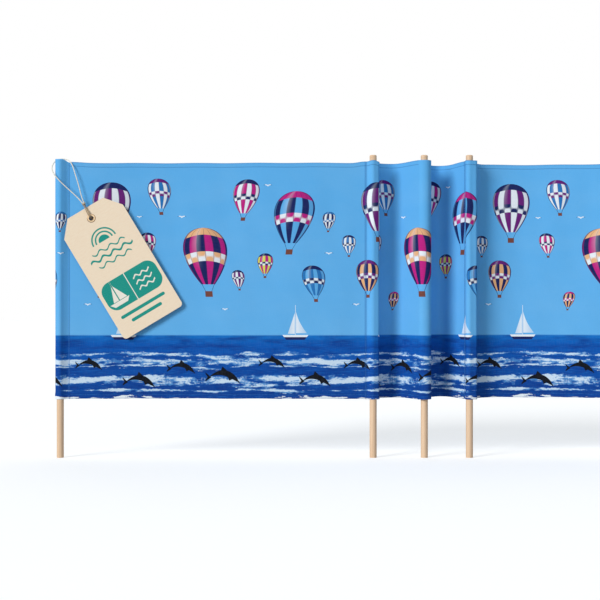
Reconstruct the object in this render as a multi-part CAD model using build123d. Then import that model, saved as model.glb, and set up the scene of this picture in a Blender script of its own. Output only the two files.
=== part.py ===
from build123d import *
from math import cos, radians, sin, tan
import os

# A beach windbreak that stands in sand: five turned wooden posts carry one long cloth in
# four bays. The view from the front looks along +Y, with the run of the cloth along +X.
# The origin is the middle of the blunt end of post 1, the lowest point of the windbreak.

# Posts
post_diameter = 24.0
post_length = 1200.0
point_length = 61.0
point_flat = 8.0
top_chamfer = 2.5

# Places of the posts along the run, from post 1 to the last one
span_1_2 = 1048.0
span_2_3 = 171.5
span_3_4 = 151.0
span_4_5 = 985.0

# Cloth: one layer, its height at the posts, and how far its edges draw in between them
cloth_thickness = 0.6
cloth_height = 800.0
top_sag = 8.0
bottom_lift = 2.0
hem_height = 16.0
hem_layers = 3
post_show = 18.0
post_rise = 14.0

# Pockets: sleeves sewn round the posts, closed over the top at both ends of the run
pocket_clearance = 0.3
end_seam_reach = 26.0
end_slack = 3.3
end_nose_radius = 9.0
end_corner_radius = 3.5
fold_seam_reach = 22.0
fold_2_slack = 7.3
fold_4_slack = 12.1
fold_nose_radius = 8.0
seam_radius = 0.3
seam_width = 6.0
fold_2_seam_angle = 180.0
fold_4_seam_angle = 120.0

# Cloth of two bays wound together round post 3
wound_gap = 0.4
wound_turns_front = 10
wound_turns_back = 9
wound_front_angle = 212.0
wound_back_angle = 150.0

# How deep the bays hang back, and the angles at which they leave the folds
straight_run = 25.0
bay_1_wave = 12.0
bay_2_depth = 75.0
bay_2_leave_angle = 40.0
bay_3_depth = 105.0
bay_4_depth = 80.0
bay_4_middle_depth = 60.0
bay_4_end_run = 190.0

# Hang tag of thick card with a metal eyelet, tied on with twine
tag_width = 228.0
tag_length = 445.0
tag_thickness = 1.2
tag_corner_run = 45.0
tag_corner_drop = 54.0
tag_corner_radius = 13.0
tag_top_x = 86.0
tag_top_z = 1035.0
tag_tilt = 31.0
tag_turn = 1.3
tag_front_y = -15.6
eyelet_drop = 39.0
eyelet_diameter = 29.0
eyelet_bore = 14.0
eyelet_lip = 1.2
eyelet_clearance = 0.2
twine_diameter = 3.2
twine_sides = 6

# Webbing strap and ribbon ties, sewn to the back of the last bay
strap_width = 25.0
strap_thickness = 1.5
strap_length = 580.0
strap_tab = 30.0
strap_bow = 14.0
strap_inset = 20.0
tie_width = 12.0
tie_thickness = 1.0
tie_tail = 240.0
tie_tab = 20.0
tie_spread = 4.0
tie_inset = 8.0
tie_stand_off = 4.0
tie_lower_share = 0.235
tie_upper_share = 0.83

# Worked out from the sizes above
post_radius = post_diameter / 2
pocket_radius = post_radius + pocket_clearance
pocket_top = post_rise + post_length - post_show
pocket_bottom = pocket_top - cloth_height
panel_top = pocket_top - top_sag
panel_bottom = pocket_bottom + bottom_lift
post_2_x = span_1_2
post_3_x = post_2_x + span_2_3
post_4_x = post_3_x + span_3_4
post_5_x = post_4_x + span_4_5
post_places = {1: (0, 0), 2: (post_2_x, post_rise), 3: (post_3_x, post_rise),
               4: (post_4_x, post_rise), 5: (post_5_x, 0)}
layer_pitch = cloth_thickness + wound_gap


def polar(radius, angle):
    """A point in plan at this distance and angle from the origin."""
    return Vector(radius * cos(radians(angle)), radius * sin(radians(angle)))


def rounded_route(points):
    """Straight runs joined by tangent arcs, each as large as its two runs allow."""
    spots = [Vector(*point) for point in points]
    radii = []
    for before, here, after in zip(spots, spots[1:], spots[2:]):
        turn = radians((here - before).get_angle(after - here))
        shorter = min((here - before).length, (after - here).length)
        radii.append(0.45 * shorter / tan(turn / 2))
    return FilletPolyline(*spots, radius=radii), radii


def beside(edge, distance):
    """The same line or arc, moved to its left by a distance."""
    start, middle, end = [edge @ share + edge.tangent_at(share).rotate(Axis.Z, 90) * distance
                          for share in (0, 0.5, 1)]
    if edge.geom_type == GeomType.CIRCLE:
        return ThreePointArc(start, middle, end).edge()
    return Line(start, end).edge()


def strip(edges, thickness):
    """A band in plan, with the given line as its front and its thickness to the left."""
    back = [beside(edge, thickness) for edge in edges]
    ends = [Line(edges[0] @ 0, back[0] @ 0).edge(), Line(edges[-1] @ 1, back[-1] @ 1).edge()]
    return Face(Wire([*edges, *back, *ends]))


def upright(plan, low, high):
    """The wall that stands on a plan between two heights."""
    return Pos(0, 0, low) * extrude(plan, high - low, dir=(0, 0, 1))


def hull(circles, growth):
    """The outline stretched round circles given as x, y and radius, grown outwards."""
    rims = [edge for x, y, radius in circles
            for edge in (Pos(x, y) * Circle(radius + growth)).edges()]
    return make_hull(rims)


def tunnel(seam_angle, seam_reach, nose_angle, slack, nose_radius):
    """Plan of a sleeve round a post at the origin: its wall and the opening inside it."""
    seam = polar(seam_reach, seam_angle)
    nose = polar(pocket_radius + slack - nose_radius, nose_angle)
    circles = [(0, 0, pocket_radius), (seam.X, seam.Y, seam_radius),
               (nose.X, nose.Y, nose_radius)]
    tab = Rot(0, 0, seam_angle) * Pos(seam_reach + seam_width / 2, 0) * Rectangle(
        seam_width, 2 * cloth_thickness)
    return hull(circles, cloth_thickness), tab, hull(circles, 0)


def post(lift):
    """A turned post with a long blunt point and the edge taken off its top."""
    profile = Polyline((0, 0), (point_flat / 2, 0), (post_radius, point_length),
                       (post_radius, post_length), (0, post_length), close=True)
    turned = revolve(Rot(90, 0, 0) * make_face(profile), Axis.Z)
    top = turned.edges().group_by(Axis.Z)[-1]
    return Pos(0, 0, lift) * chamfer(top, top_chamfer)


def open_sleeve(seam_angle, slack):
    """Sleeve in the middle of the run, made by a fold of the cloth sewn across its foot."""
    wall, tab, inside = tunnel(seam_angle, fold_seam_reach, 0, slack, fold_nose_radius)
    return upright(wall + tab - inside, pocket_bottom, pocket_top)


def sleeve_side(growth):
    """Front outline of an end sleeve: rounded over the post and sloping down to its seam."""
    left = -(pocket_radius + end_slack + growth)
    right = end_seam_reach + seam_width
    top = post_length + pocket_clearance + growth
    slope_foot = panel_top - cloth_thickness + growth
    outline = make_face(Polyline((left, 0), (left, top), (pocket_radius, top),
                                 (right, slope_foot), (right, 0), close=True))
    corner = outline.vertices().sort_by(Axis.X)[:2].sort_by(Axis.Y)[-1]
    return Rot(90, 0, 0) * fillet(corner, end_corner_radius + growth)


def closed_sleeve():
    """Sleeve at an end of the run, folded shut over the top of its post."""
    wall, tab, inside = tunnel(0, end_seam_reach, 180, end_slack, end_nose_radius)
    tall = 2 * post_length
    outside = extrude(wall, tall) & extrude(sleeve_side(cloth_thickness), tall, both=True)
    hollow = extrude(inside, tall) & extrude(sleeve_side(0), tall, both=True)
    sleeve = outside + extrude(tab, panel_top) - hollow
    return sleeve - Box(tall, tall, 2 * pocket_bottom)


def wound_arm(outer_radius, outer_angle, half_turns):
    """Half circles that shrink by one layer each, from the outer end of a wound cloth inwards."""
    arcs = []
    centre_shift = layer_pitch / 2
    for count in range(half_turns):
        side = 1 if count % 2 == 0 else -1
        centre = polar(side * centre_shift, outer_angle)
        radius = outer_radius - centre_shift - count * layer_pitch
        arcs.append(CenterArc(centre, radius, outer_angle + 180 * count, 180).edge())
    return arcs


def at_depth(start, angle, depth):
    """The point where a line from start at this angle reaches a depth behind the posts."""
    run = (depth - start.Y) / sin(radians(angle))
    return start + polar(run, angle)


# Posts and their sleeves
posts = {number: Pos(x, 0, 0) * post(lift) for number, (x, lift) in post_places.items()}
pockets = {
    1: closed_sleeve(),
    2: Pos(post_2_x, 0, 0) * open_sleeve(fold_2_seam_angle, fold_2_slack),
    3: Pos(post_3_x, 0, 0) * upright(
        Circle(pocket_radius + cloth_thickness) - Circle(pocket_radius), pocket_bottom, pocket_top),
    4: Pos(post_4_x, 0, 0) * open_sleeve(fold_4_seam_angle, fold_4_slack),
    5: Pos(post_5_x, 0, 0) * Rot(0, 0, 180) * closed_sleeve(),
}

# Two cloths wound round post 3, one layer of each in turn
core_radius = pocket_radius + cloth_thickness + wound_gap
front_radius = core_radius + wound_turns_front * layer_pitch
angle_lag = (wound_front_angle - wound_back_angle) / 180
back_radius = front_radius - layer_pitch * (1 - angle_lag)
front_arm = wound_arm(front_radius + cloth_thickness, wound_front_angle, wound_turns_front)
back_arm = wound_arm(back_radius, wound_back_angle, wound_turns_back)
wound = {}
for name, arcs, thickness in (("wound_cloth_front", front_arm, cloth_thickness),
                              ("wound_cloth_back", back_arm, -cloth_thickness)):
    wound[name] = Pos(post_3_x, 0, 0) * upright(strip(arcs, thickness), pocket_bottom, pocket_top)
    print(f"{name}: {sum(arc.length for arc in arcs):.0f} mm of cloth")

# Front lines of the four bays in plan
seam_end_1 = end_seam_reach + seam_width
seam_end_5 = post_5_x - seam_end_1
seam_end_2 = post_2_x - fold_seam_reach - seam_width
layer_front = -cloth_thickness
bay_1_points = [(seam_end_1, layer_front), (seam_end_1 + straight_run, layer_front),
                (span_1_2 * 0.36, bay_1_wave), (span_1_2 * 0.70, -bay_1_wave / 3),
                (seam_end_2 - straight_run, layer_front), (seam_end_2, layer_front)]

bay_2_start = Vector(seam_end_2 + cloth_thickness, cloth_thickness)
bay_2_bend = bay_2_start + Vector(0, 2 * seam_width)
bay_2_end = Vector(post_3_x, 0) + polar(front_radius + cloth_thickness, wound_front_angle)
bay_2_points = [bay_2_start, bay_2_bend, at_depth(bay_2_bend, bay_2_leave_angle, bay_2_depth),
                at_depth(bay_2_end, wound_front_angle + 90, bay_2_depth), bay_2_end]

bay_3_start = Vector(post_3_x, 0) + polar(back_radius, wound_back_angle)
bay_3_end = (Vector(post_4_x, 0) + polar(fold_seam_reach + seam_width, fold_4_seam_angle)
             + polar(cloth_thickness, fold_4_seam_angle + 90))
bay_3_points = [bay_3_start, at_depth(bay_3_start, wound_back_angle - 90, bay_3_depth),
                at_depth(bay_3_end, fold_4_seam_angle, bay_3_depth), bay_3_end]

bay_4_start = (Vector(post_4_x, 0) + polar(fold_seam_reach + seam_width - cloth_thickness,
                                           fold_4_seam_angle)
               + polar(cloth_thickness, fold_4_seam_angle - 90))
bay_4_points = [bay_4_start, at_depth(bay_4_start, fold_4_seam_angle - 90, bay_4_depth),
                (post_4_x + span_4_5 * 0.34, bay_4_middle_depth),
                (post_4_x + span_4_5 * 0.62, bay_1_wave),
                (seam_end_5 - bay_4_end_run, layer_front), (seam_end_5, layer_front)]

# Each bay is a cloth with a folded hem along its top and its bottom edge
bays = {}
for number, points in enumerate([bay_1_points, bay_2_points, bay_3_points, bay_4_points], 1):
    line, radii = rounded_route(points)
    front = line.edges()
    cloth = strip(front, cloth_thickness)
    hem = cloth + strip(front[1:-1], hem_layers * cloth_thickness)
    low = panel_bottom + hem_height
    high = panel_top - hem_height
    bays[f"bay_{number}_cloth"] = upright(cloth, low, high)
    bays[f"bay_{number}_bottom_hem"] = upright(hem, panel_bottom, low)
    bays[f"bay_{number}_top_hem"] = upright(hem, high, panel_top)
    print(f"bay {number}: {line.length:.0f} mm of cloth in view")

# Hang tag, cut at its two upper corners, with a rolled eyelet
half_width = tag_width / 2
tag_outline = Polyline((-half_width + tag_corner_run, 0), (half_width - tag_corner_run, 0),
                       (half_width, -tag_corner_drop), (half_width, -tag_length),
                       (-half_width, -tag_length), (-half_width, -tag_corner_drop), close=True)
tag_face = make_face(tag_outline)
tag_face = fillet(tag_face.vertices().group_by(Axis.Y)[0], tag_corner_radius)
barrel_radius = eyelet_bore / 2 + eyelet_lip
tag_hole = Pos(0, -eyelet_drop) * Circle(barrel_radius + eyelet_clearance)
tag_place = (Pos(tag_top_x, tag_front_y, tag_top_z) * Rot(0, 0, tag_turn)
             * Rot(0, -tag_tilt, 0) * Rot(90, 0, 0))
tag = tag_place * extrude(tag_face - tag_hole, -tag_thickness)

lip_profile = Polyline((eyelet_bore / 2, -tag_thickness - eyelet_lip),
                       (eyelet_diameter / 2, -tag_thickness - eyelet_clearance),
                       (barrel_radius, -tag_thickness - eyelet_clearance),
                       (barrel_radius, eyelet_clearance), (eyelet_diameter / 2, eyelet_clearance),
                       (eyelet_bore / 2, eyelet_lip), close=True)
eyelet = revolve(Rot(90, 0, 0) * make_face(lip_profile), Axis.Z)
tag_eyelet = tag_place * Pos(0, -eyelet_drop) * eyelet

# Twine: from behind the eyelet up to its knot, over the top of the end sleeve and back again
twine_points = [
    (106.4, -4.6, 997.4), (103.4, -9.6, 1002.0), (101.4, -20.4, 1005.9), (96.8, -24.0, 1013.4),
    (89.0, -24.6, 1029.8), (80.0, -24.0, 1049.3), (61.0, -22.0, 1071.0), (33.0, -20.8, 1096.0),
    (5.0, -21.5, 1122.0), (-17.0, -19.5, 1146.0), (-28.0, -8.0, 1168.0), (-24.5, 5.5, 1188.0),
    (-11.0, 13.6, 1200.6), (7.0, 15.2, 1203.1), (22.0, 10.2, 1199.9), (34.0, -0.5, 1192.9),
    (43.5, -10.0, 1176.0), (52.0, -14.5, 1150.0), (61.5, -16.0, 1121.0), (69.0, -16.5, 1092.0),
    (75.0, -17.0, 1069.5), (83.2, -17.6, 1050.5), (92.7, -19.2, 1031.4), (100.6, -23.4, 1015.4),
    (105.1, -21.1, 1008.3), (106.7, -9.6, 1004.2), (110.1, -4.6, 999.5),
]
twine_line, twine_radii = rounded_route(twine_points)
twine_mouth = Plane(twine_line @ 0, z_dir=twine_line % 0)
twine_section = RegularPolygon(twine_diameter / 2, twine_sides)
tag_twine = sweep(twine_mouth * twine_section, path=twine_line)
twine_share = tag_twine.volume / (twine_section.area * twine_line.length)
print("twine radii:", " ".join(f"{radius:.1f}" for radius in twine_radii))
print(f"twine length {twine_line.length:.1f} mm, volume share {twine_share:.4f}")

# Strap and ties on the back of the last bay
strap_bottom = pocket_bottom + (cloth_height - strap_length) / 2
strap_top = strap_bottom + strap_length
bow_run = strap_length / 4
strap_line, strap_radii = rounded_route([
    (0, strap_top), (0, strap_top - strap_tab), (strap_bow, strap_top - strap_tab - bow_run),
    (strap_bow, strap_bottom + strap_tab + bow_run), (0, strap_bottom + strap_tab),
    (0, strap_bottom)])
strap_x = seam_end_5 - strap_inset
strap_section = Plane.YZ * strip(strap_line.edges(), strap_thickness)
carry_strap = Pos(strap_x - strap_width, 0, 0) * extrude(strap_section, strap_width)

tie_x = strap_x - strap_width - tie_inset
ties = {}
for name, share in (("tie_lower", tie_lower_share), ("tie_upper", tie_upper_share)):
    tie_top = pocket_bottom + share * cloth_height
    tie_line, tie_radii = rounded_route([
        (0, tie_top), (0, tie_top - tie_tab), (tie_stand_off, tie_top - 2 * tie_tab),
        (tie_stand_off, tie_top - tie_tab - tie_tail)])
    tail = extrude(Plane.YZ * strip(tie_line.edges(), tie_thickness), tie_width)
    tab = Pos(-tie_width / 2, tie_thickness / 2, tie_top - tie_tab / 2) * Box(
        3 * tie_width, tie_thickness, tie_tab)
    pair = Pos(-tie_spread / 2, 0, 0) * tail + Pos(tie_spread / 2 - 2 * tie_width, 0, 0) * tail
    ties[name] = Pos(tie_x - tie_width, 0, 0) * (pair + tab)

# One file for each piece
os.makedirs("parts", exist_ok=True)
pieces = {f"post_{number}": shape for number, shape in posts.items()}
pieces.update({f"pocket_{number}": shape for number, shape in pockets.items()})
pieces.update(wound)
pieces.update(bays)
pieces.update({"hang_tag": tag, "tag_eyelet": tag_eyelet, "tag_twine": tag_twine,
               "carry_strap": carry_strap, **ties})
for name, shape in pieces.items():
    export_step(shape, f"parts/{name}.step")
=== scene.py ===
from math import cos, pi, radians, sin

import bmesh
import bpy
import numpy as np
from mathutils import Matrix, Vector


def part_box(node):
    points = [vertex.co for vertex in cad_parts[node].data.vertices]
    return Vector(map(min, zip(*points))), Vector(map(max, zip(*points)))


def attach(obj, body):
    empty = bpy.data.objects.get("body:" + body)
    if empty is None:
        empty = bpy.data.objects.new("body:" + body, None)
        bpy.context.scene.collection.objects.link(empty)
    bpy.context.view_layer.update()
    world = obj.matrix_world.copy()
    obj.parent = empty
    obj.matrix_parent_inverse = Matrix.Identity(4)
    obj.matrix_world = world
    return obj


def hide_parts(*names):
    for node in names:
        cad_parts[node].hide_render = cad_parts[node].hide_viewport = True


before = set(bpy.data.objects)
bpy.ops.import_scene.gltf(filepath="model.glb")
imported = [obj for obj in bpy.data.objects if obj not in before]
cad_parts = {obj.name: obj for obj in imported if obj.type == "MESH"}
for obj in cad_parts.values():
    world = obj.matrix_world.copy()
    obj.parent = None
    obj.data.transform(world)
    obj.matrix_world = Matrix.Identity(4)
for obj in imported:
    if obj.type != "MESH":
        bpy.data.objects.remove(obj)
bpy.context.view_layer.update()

scene = bpy.context.scene
scene.view_settings.view_transform = "Standard"


# Studio. The windbreak stands in a plain pale floor, which hides the buried part of its posts.
# The view is level and square on, a little above the middle of what stands above the floor.
floor_level = 0.201
view_middle = (0.803, 0.7286)
view_distance = 4.51
view_width = 2.010
sensor_width = 0.036
room_colour = (0.78, 0.91, 1.0, 1.0)
room_strength = 0.28
floor_reach = 30.0
floor_shade = 0.70
floor_light = 0.49
plain_shade = 0.50


def bring_in(name, data):
    """A new object in the scene that shows this data."""
    piece = bpy.data.objects.new(name, data)
    scene.collection.objects.link(piece)
    return piece


def lamp(name, direction, strength, softness):
    """A broad lamp whose light travels along a direction."""
    light = bpy.data.lights.new(name, "SUN")
    light.energy = strength
    light.angle = radians(softness)
    bring_in(name, light).rotation_euler = Vector(direction).to_track_quat("-Z", "Y").to_euler()


def step(tree, kind, feeds, **settings):
    """Adds one node to a tree, with its settings and with what feeds its inputs, and gives its outputs."""
    node = tree.nodes.new(kind)
    for setting, value in settings.items():
        setattr(node, setting, value)
    for key, value in feeds.items():
        value = getattr(value, "socket", value)
        if isinstance(value, bpy.types.NodeSocket):
            tree.links.new(value, node.inputs[key])
        else:
            node.inputs[key].default_value = value
    return node.outputs


def show_one_of(tree, plain, seen, output):
    """Ends a tree: one shader for light on the object, another for what the camera, metal or glass shows."""
    ray = step(tree, "ShaderNodeLightPath", {})
    direct = ray["Is Camera Ray"]
    for kind in ("Is Glossy Ray", "Is Transmission Ray"):
        direct = step(tree, "ShaderNodeMath", {0: direct, 1: ray[kind]}, operation="MAXIMUM")[0]
    mix = step(tree, "ShaderNodeMixShader", {0: direct, 1: plain, 2: seen})
    step(tree, output, {0: mix[0]})


def grey(shade):
    """A colour with the same share of red, green and blue light."""
    return (shade, shade, shade, 1.0)


camera = bring_in("camera", bpy.data.cameras.new("camera"))
camera.location = (view_middle[0], -view_distance, view_middle[1])
camera.rotation_euler = (radians(90), 0, 0)
camera.data.sensor_width = sensor_width * 1000
camera.data.lens = sensor_width * 1000 * view_distance / view_width
camera.data.clip_end = 60
scene.camera = camera

lamp("key_lamp", (1.0, 1.05, -0.62), 2.30, 22)
lamp("front_lamp", (-0.12, 1.0, -0.35), 0.30, 40)
lamp("back_lamp", (-0.55, -1.0, -0.70), 1.15, 90)

world = bpy.data.worlds.new("pale_room")
scene.world = world
world.use_nodes = True
room = world.node_tree
room.nodes.clear()
room_light = step(room, "ShaderNodeBackground", {"Color": room_colour, "Strength": room_strength})
room_white = step(room, "ShaderNodeBackground", {"Color": grey(1.0)})
show_one_of(room, room_light[0], room_white[0], "ShaderNodeOutputWorld")

floor_mesh = bpy.data.meshes.new("floor")
floor_mesh.from_pydata([(floor_reach * x, floor_reach * y, floor_level)
                        for x, y in ((-1, -1), (1, -1), (1, 1), (-1, 1))], [], [(0, 1, 2, 3)])
bring_in("floor", floor_mesh)

floor_finish = bpy.data.materials.new("pale_floor")
floor_finish.use_nodes = True
paint = floor_finish.node_tree
paint.nodes.clear()
plain_floor = step(paint, "ShaderNodeBsdfDiffuse", {"Color": grey(plain_shade)})
pale_floor = step(paint, "ShaderNodeBsdfDiffuse", {"Color": grey(floor_shade)})
backdrop = step(paint, "ShaderNodeEmission", {"Color": grey(1.0), "Strength": floor_light})
shadowed = step(paint, "ShaderNodeAddShader", {0: pale_floor[0], 1: backdrop[0]})
show_one_of(paint, plain_floor[0], shadowed[0], "ShaderNodeOutputMaterial")
floor_mesh.materials.append(floor_finish)


# Posts. Each one is a turned pine dowel with a cut point and a sawn top, whose rim is chamfered a little,
# sanded and left bare. The grain runs up the post: growth rings, fine dark fibres and a few small knots.
post_radius = 0.012
point_length = 0.061
point_flat = 0.004
top_chamfer = 0.0025
top_wear = 0.0010
ring_width = 0.0042
sharp_angle = 50


class Field:
    """A number or colour that varies over a surface, kept as a node socket."""

    def __init__(self, socket):
        self.socket = socket

    def __add__(self, other):
        return reckon("ADD", self, other)

    def __sub__(self, other):
        return reckon("SUBTRACT", self, other)

    def __rsub__(self, other):
        return reckon("SUBTRACT", other, self)

    def __mul__(self, other):
        return reckon("MULTIPLY", self, other)

    def __truediv__(self, other):
        return reckon("DIVIDE", self, other)

    def __neg__(self):
        return self * -1.0

    def __abs__(self):
        return reckon("ABSOLUTE", self)

    __radd__ = __add__
    __rmul__ = __mul__


def on_surface(kind, feeds, output=0, **settings):
    """One output of a new node, in the tree of the first field that feeds it."""
    tree = next(value.socket.id_data for value in feeds.values() if isinstance(value, Field))
    return Field(step(tree, kind, feeds, **settings)[output])


def reckon(operation, *terms, clamped=False):
    """One sum on fields and plain numbers."""
    return on_surface("ShaderNodeMath", dict(enumerate(terms)), operation=operation, use_clamp=clamped)


def within(number):
    """The number kept between 0 and 1."""
    return reckon("ADD", number, 0.0, clamped=True)


def wave(distance, length):
    """A sine wave of this length, from -1 to 1."""
    return reckon("SINE", distance * (2 * pi / length))


def spot(x, y, z):
    """A place made of three fields or numbers."""
    return on_surface("ShaderNodeCombineXYZ", {0: x, 1: y, 2: z})


def axes(place):
    """The three numbers of a place."""
    return [Field(socket) for socket in step(place.socket.id_data, "ShaderNodeSeparateXYZ", {0: place})]


def cloudy(place, scale, detail=2.0, roughness=0.5):
    """Soft noise about 0.5."""
    feeds = {"Vector": place, "Scale": scale, "Detail": detail, "Roughness": roughness}
    return on_surface("ShaderNodeTexNoise", feeds, "Fac")


def blend(cover, under, over):
    """The under colour where cover is 0, the over colour where it is 1."""
    return on_surface("ShaderNodeMix", {"Factor": cover, 6: under, 7: over}, 2, data_type="RGBA")


def stain(colour, amount, share, over):
    """The colour, covered by another where amount is 1 or more, but never beyond this share."""
    return blend(within(amount) * share, colour, over)


def dye(red, green, blue):
    """A colour as a screen shows it, from 0 to 255, turned into light."""
    parts = (red, green, blue)
    return (*[((part / 255 + 0.055) / 1.055) ** 2.4 if part > 10 else part / 3295 for part in parts], 1.0)


def new_finish(name, roughness, gloss, sheen=0.0):
    """A material and its shader."""
    material = bpy.data.materials.new(name)
    material.use_nodes = True
    shader = material.node_tree.nodes["Principled BSDF"]
    shader.inputs["Roughness"].default_value = roughness
    shader.inputs["Specular IOR Level"].default_value = gloss
    shader.inputs["Sheen Weight"].default_value = sheen
    return material, shader


def feed(shader, name, field):
    """Lets a field set one of a shader's inputs."""
    shader.id_data.links.new(field.socket, shader.inputs[name])


def object_place(material):
    """Where each spot lies in the windbreak's own frame."""
    return Field(step(material.node_tree, "ShaderNodeTexCoord", {})["Object"])


def raise_grain(shader, height, depth, strength=1.0):
    """Relief in the surface, as deep as given where height is 1."""
    feeds = {"Height": height, "Distance": depth, "Strength": strength}
    feed(shader, "Normal", on_surface("ShaderNodeBump", feeds))


def soft_route(corners, shares=24):
    """Points along the smooth line that a few corners pull on, from the first to the last."""
    corners = [Vector(corner) for corner in corners]
    last = len(corners) - 2
    points = []
    for index in range(1, last + 1):
        middle = corners[index]
        start = corners[0] if index == 1 else (corners[index - 1] + middle) / 2
        end = corners[-1] if index == last else (middle + corners[index + 1]) / 2
        for part in range(shares + (index == last)):
            share = part / shares
            points.append(start * (1 - share) ** 2 + middle * (2 * share * (1 - share)) + end * share ** 2)
    return points


def smoothed(piece):
    """The piece with smooth faces and its real edges kept sharp."""
    piece.data.polygons.foreach_set("use_smooth", [True] * len(piece.data.polygons))
    piece.data.set_sharp_from_angle(angle=radians(sharp_angle))
    return piece


def piece_from(name, shape, finish):
    """A closed shape as a piece with one finish."""
    bmesh.ops.recalc_face_normals(shape, faces=shape.faces)
    mesh = bpy.data.meshes.new(name)
    shape.to_mesh(mesh)
    shape.free()
    mesh.materials.append(finish)
    return smoothed(bring_in(name, mesh))


def shape_of_rings(rings, closed=False):
    """A shape with faces from each ring of places to the next, and flat ends unless it closes on itself."""
    shape = bmesh.new()
    rings = [[shape.verts.new(place) for place in ring] for ring in rings]
    for lower, upper in zip(rings, rings[1:] + rings[:closed]):
        for side in range(max(len(lower), len(upper))):
            corners = [lower[side % len(lower)], lower[(side + 1) % len(lower)],
                       upper[(side + 1) % len(upper)], upper[side % len(upper)]]
            shape.faces.new(list(dict.fromkeys(corners)))
    for ring in (rings[0], rings[-1]):
        if len(ring) > 1 and not closed:
            shape.faces.new(ring)
    return shape


def turn_on_lathe(name, outline, sides, place, finish, closed=False):
    """A round piece from its outline as (radius, height), put in its place."""
    angles = [2 * pi * side / sides for side in range(sides)]
    rings = []
    for radius, height in outline:
        turned = angles if radius else [0]
        rings.append([(radius * cos(angle), radius * sin(angle), height) for angle in turned])
    piece = piece_from(name, shape_of_rings(rings, closed), finish)
    piece.data.transform(place)
    return piece


def take_place(piece, slot, *nodes):
    """The piece stands for these solids; the slot is not used."""
    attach(piece, "root")
    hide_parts(*nodes)


def post_outline(length):
    """The post's outline as (radius, height), from the middle of its foot to the middle of its top."""
    outline = [(0, 0), (point_flat * 0.8, 0), (point_flat, 0.0006)]
    for share in np.linspace(0.1, 1, 10):
        outline.append((point_flat + (post_radius - point_flat) * share, point_length * share))
    for height in np.linspace(point_length + 0.004, length - top_chamfer - 2 * top_wear, 40):
        wear = 0.00006 * sin(height * 37) + 0.00005 * sin(height * 91 + 1)
        outline.append((post_radius - 0.00011 + wear, height))
    rim = [(post_radius, length - top_chamfer - top_wear), (post_radius, length - top_chamfer),
           (post_radius - top_chamfer, length), (post_radius - top_chamfer - top_wear, length)]
    return outline + [tuple(point) for point in soft_route(rim, 4)] + [(0, length)]


pine, pine_shader = new_finish("bare_pine", 0.62, 0.3)
across, deep, height = axes(object_place(pine))
wander = cloudy(spot(across * 7, deep * 7, height * 1.1), 1.0, 1.0)
ring = wave(across * 0.55 + deep + wander * 0.02, ring_width) * 0.5 + 0.5
fibre = cloudy(spot(across * 60, deep * 60, height * 2.2), 18.0, 3.0, 0.6)
patch = cloudy(spot(across * 3, deep * 3, height), 3.0, 2.0)
knot_place = spot(across * 8, deep * 8, height * 2.6)
from_knot = on_surface("ShaderNodeTexVoronoi", {"Vector": knot_place, "Scale": 1.0}, "Distance")
wood_colour = blend(reckon("POWER", ring, 3.0) * 0.38, dye(235, 200, 165), dye(204, 156, 114))
wood_colour = stain(wood_colour, fibre * 2.2 - 0.85, 0.45, dye(238, 214, 188))
wood_colour = stain(wood_colour, patch * 2.4 - 1.1, 0.30, dye(208, 174, 146))
wood_colour = stain(wood_colour, 1.0 - from_knot * 9, 0.70, dye(150, 104, 70))
feed(pine_shader, "Base Color", wood_colour)
raise_grain(pine_shader, fibre * 0.6 + ring * 0.4, 0.0004, 0.5)

post_places = {}
for number in range(1, 6):
    low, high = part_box(f"post_{number}")
    post_places[number] = (low + high) / 2
    place = Matrix.Translation((post_places[number].x, post_places[number].y, low.z))
    post = turn_on_lathe(f"dowel_{number}", post_outline(high.z - low.z), 40, place, pine)
    take_place(post, "wood", f"post_{number}")


# Printed cloth. One long piece of woven polyester, printed on its face with a plain seaside picture
# that repeats along it. The reverse is paler, because the ink only half shows through.
repeat = 0.900
horizon = 0.2145
print_blur = 0.0008
horizon_blur = 0.0045
thread_pitch = 0.0004
sky_ink = dye(96, 178, 237)
white_ink = dye(240, 246, 252)
navy_ink = dye(22, 34, 92)
magenta_ink = dye(196, 32, 130)
purple_ink = dye(112, 30, 120)
peach_ink = dye(242, 184, 132)
yellow_ink = dye(228, 226, 96)
teal_ink = dye(40, 120, 190)

balloon_flights = (
    [(0.035, 0.520, 0.030, teal_ink, white_ink, navy_ink),
     (0.262, 0.525, 0.034, magenta_ink, white_ink, navy_ink),
     (0.335, 0.335, 0.026, navy_ink, peach_ink, magenta_ink),
     (0.565, 0.405, 0.028, white_ink, purple_ink, navy_ink),
     (0.655, 0.455, 0.034, yellow_ink, magenta_ink, navy_ink),
     (0.868, 0.600, 0.028, navy_ink, white_ink, teal_ink)],
    [(0.100, 0.415, 0.052, navy_ink, peach_ink, purple_ink),
     (0.300, 0.690, 0.050, white_ink, teal_ink, purple_ink),
     (0.590, 0.680, 0.057, magenta_ink, white_ink, navy_ink),
     (0.818, 0.398, 0.050, teal_ink, sky_ink, navy_ink)],
    [(0.140, 0.645, 0.082, purple_ink, white_ink, navy_ink),
     (0.455, 0.480, 0.095, navy_ink, magenta_ink, peach_ink),
     (0.750, 0.610, 0.087, navy_ink, sky_ink, magenta_ink)],
)
gulls = ((0.060, 0.316, 0.014), (0.232, 0.610, 0.012), (0.375, 0.610, 0.015), (0.520, 0.300, 0.013),
         (0.664, 0.715, 0.014), (0.868, 0.487, 0.015))
foam_bands = ((0.148, 0.007, 0.010, 0.50), (0.128, 0.010, 0.020, 0.75), (0.108, 0.003, 0.004, 0.62),
              (0.064, 0.013, 0.022, 0.95), (0.029, 0.005, 0.007, 0.75))
leaps = ((0.3, 0.85, 0.30), (0.7, 0.10, 0.80), (0.5, 0.70, 0.45), (0.3, 0.30, 1.0), (0.6, 0.95, 0.25),
         (0.5, 0.15, 0.70))


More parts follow.
